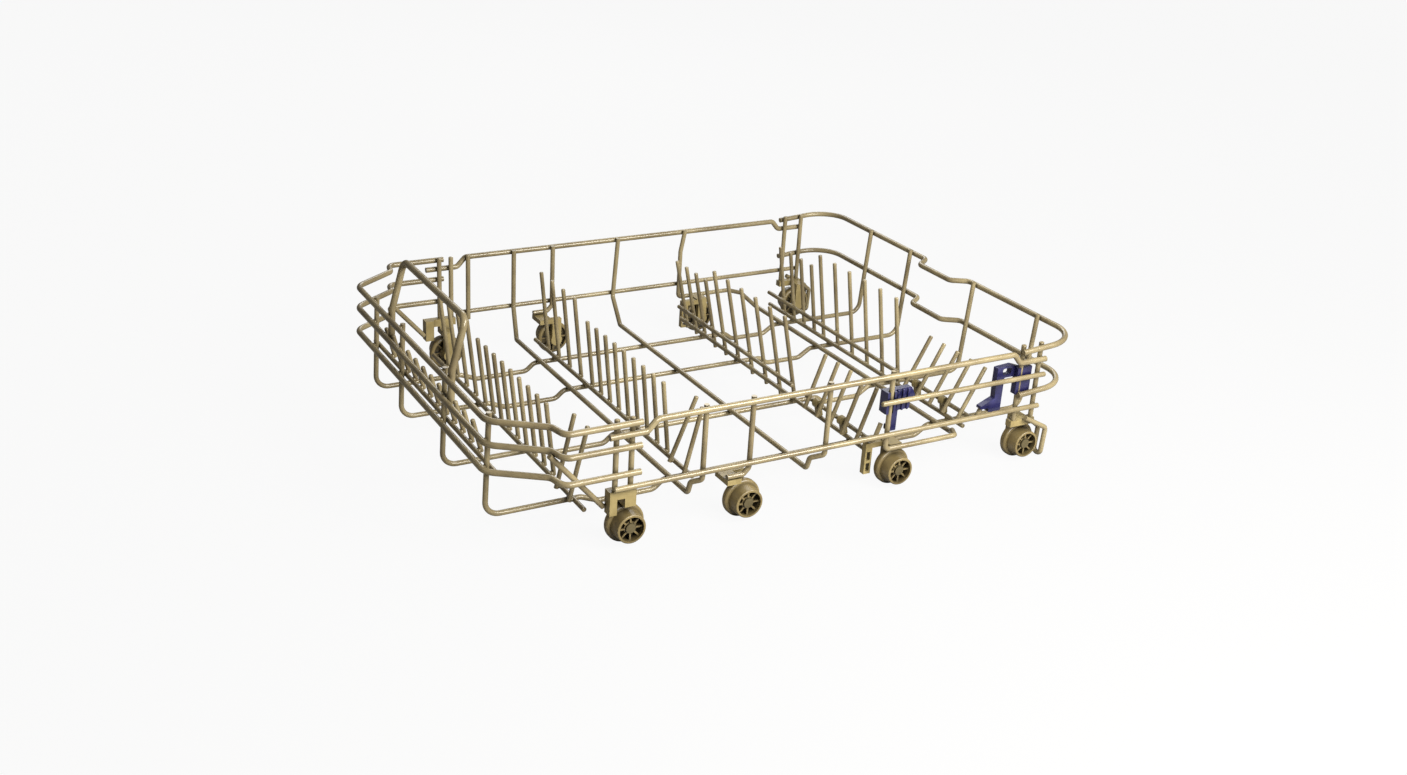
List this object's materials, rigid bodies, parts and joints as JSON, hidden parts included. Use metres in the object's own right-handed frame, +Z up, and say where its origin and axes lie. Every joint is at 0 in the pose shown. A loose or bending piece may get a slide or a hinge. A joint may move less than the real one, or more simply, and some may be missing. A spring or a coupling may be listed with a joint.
{
  "type": "dishwasher basket",
  "caption": "Lower dishwasher basket of coated wire with tine rows, two folding tine racks held by blue catches, a bow handle and wheels on moulded holders",
  "frame": {"origin": "on the floor under the middle of the basket, level with the bottoms of the wheels", "axes": "X across the basket, right positive seen from the front; +Y to the back of the machine; +Z up"},
  "size_m": [0.3808, 0.516, 0.1483],
  "materials": {
    "coated_wire": "nylon coated steel wire, khaki brown, semi gloss",
    "wheel_plastic": "moulded olive brown plastic, satin",
    "holder_plastic": "moulded olive brown plastic, satin",
    "catch_plastic": "moulded royal blue plastic, smooth"
  },
  "bodies": {
    "basket": {"back_posts_left": "coated_wire", "back_posts_right": "coated_wire", "back_rim_lower": "coated_wire", "back_rim_upper": "coated_wire", "catch_c": "catch_plastic", "catch_d": "catch_plastic", "catch_rail": "coated_wire", "comb_bar": "coated_wire", "comb_tines": "coated_wire", "corner_braces": "coated_wire", "cross_wire_front": "coated_wire", "cross_wire_middle": "coated_wire", "cross_wire_rear": "coated_wire", "front_posts_left": "coated_wire", "front_posts_right": "coated_wire", "front_rail_low": "coated_wire", "front_rail_middle": "coated_wire", "front_rail_top": "coated_wire", "handle": "coated_wire", "holder_left_1": "holder_plastic", "holder_left_2": "holder_plastic", "holder_left_3": "holder_plastic", "holder_left_4": "holder_plastic", "holder_right_1": "holder_plastic", "holder_right_2": "holder_plastic", "holder_right_3": "holder_plastic", "holder_right_4": "holder_plastic", "long_wire_1": "coated_wire", "long_wire_2": "coated_wire", "long_wire_3": "coated_wire", "long_wire_4": "coated_wire", "lower_rail_left": "coated_wire", "lower_rail_right": "coated_wire", "rack_bearings": "holder_plastic", "rear_guard_left": "coated_wire", "rear_guard_right": "coated_wire", "row_a_bar": "coated_wire", "row_a_tines": "coated_wire", "row_b_bar": "coated_wire", "row_b_tines": "coated_wire", "row_c_bars": "coated_wire", "row_c_tines": "coated_wire", "row_d_bars": "coated_wire", "row_d_tines": "coated_wire", "side_hook_left": "coated_wire", "side_hook_right": "coated_wire", "side_rail_left": "coated_wire", "side_rail_right": "coated_wire"},
    "wheel_right_1": {"wheel_right_1": "wheel_plastic"},
    "wheel_right_2": {"wheel_right_2": "wheel_plastic"},
    "wheel_right_3": {"wheel_right_3": "wheel_plastic"},
    "wheel_right_4": {"wheel_right_4": "wheel_plastic"},
    "wheel_left_1": {"wheel_left_1": "wheel_plastic"},
    "wheel_left_2": {"wheel_left_2": "wheel_plastic"},
    "wheel_left_3": {"wheel_left_3": "wheel_plastic"},
    "wheel_left_4": {"wheel_left_4": "wheel_plastic"},
    "rack_c": {"rack_c_axle": "coated_wire", "rack_c_tines": "coated_wire"},
    "rack_d": {"rack_d_axle": "coated_wire", "rack_d_tines": "coated_wire"}
  },
  "joints": [
    {"name": "wheel_right_1_spin", "type": "hinge", "parent": "basket", "child": "wheel_right_1", "pos_m": [0.1813, -0.1588, 0.0155], "axis": [1, 0, 0], "continuous": true},
    {"name": "wheel_right_2_spin", "type": "hinge", "parent": "basket", "child": "wheel_right_2", "pos_m": [0.1813, -0.059, 0.0155], "axis": [1, 0, 0], "continuous": true},
    {"name": "wheel_right_3_spin", "type": "hinge", "parent": "basket", "child": "wheel_right_3", "pos_m": [0.1813, 0.0819, 0.0155], "axis": [1, 0, 0], "continuous": true},
    {"name": "wheel_right_4_spin", "type": "hinge", "parent": "basket", "child": "wheel_right_4", "pos_m": [0.1813, 0.2126, 0.0155], "axis": [1, 0, 0], "continuous": true},
    {"name": "wheel_left_1_spin", "type": "hinge", "parent": "basket", "child": "wheel_left_1", "pos_m": [-0.1813, -0.1646, 0.0155], "axis": [1, 0, 0], "continuous": true},
    {"name": "wheel_left_2_spin", "type": "hinge", "parent": "basket", "child": "wheel_left_2", "pos_m": [-0.1813, -0.0586, 0.0155], "axis": [1, 0, 0], "continuous": true},
    {"name": "wheel_left_3_spin", "type": "hinge", "parent": "basket", "child": "wheel_left_3", "pos_m": [-0.1813, 0.0984, 0.0155], "axis": [1, 0, 0], "continuous": true},
    {"name": "wheel_left_4_spin", "type": "hinge", "parent": "basket", "child": "wheel_left_4", "pos_m": [-0.1813, 0.2126, 0.0155], "axis": [1, 0, 0], "continuous": true},
    {"name": "rack_c_fold", "type": "hinge", "parent": "basket", "child": "rack_c", "pos_m": [0.125, 0.06238, 0.03888], "axis": [1, 0, 0], "range_deg": [0, 109.6]},
    {"name": "rack_d_fold", "type": "hinge", "parent": "basket", "child": "rack_d", "pos_m": [0.125, 0.16445, 0.04058], "axis": [1, 0, 0], "range_deg": [0, 118.1]}
  ]
}
